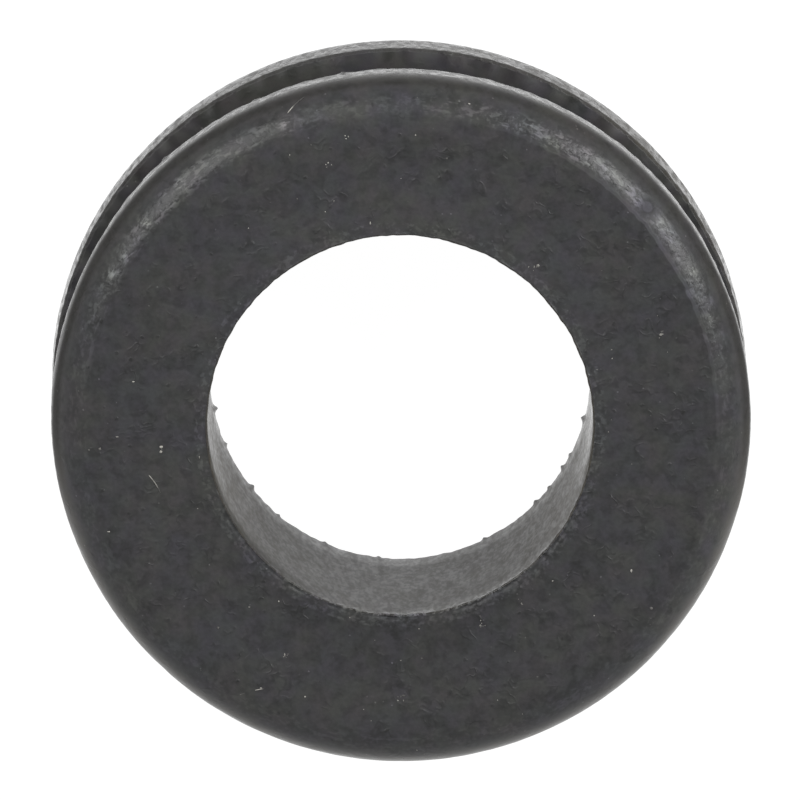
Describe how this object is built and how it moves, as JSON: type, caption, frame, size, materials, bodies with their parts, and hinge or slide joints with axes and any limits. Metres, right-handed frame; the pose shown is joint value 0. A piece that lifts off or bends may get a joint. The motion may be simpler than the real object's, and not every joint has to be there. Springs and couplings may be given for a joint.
{
  "type": "rubber grommet",
  "caption": "Round moulded rubber grommet: a plain cable bore between two round-shouldered flanges, with a groove that seats in a panel hole.",
  "frame": {"origin": "Centre of the lower flange's flat end face, on the bore's axis, where the grommet lies on a surface.", "axes": "+Z is the bore's axis and points out of the upper flange. The ring is round, so +X and +Y are free."},
  "size_m": [0.02, 0.02, 0.008],
  "materials": {
    "rubber": "matte"
  },
  "bodies": {
    "root": {"grommet": "rubber"}
  },
  "joints": []
}
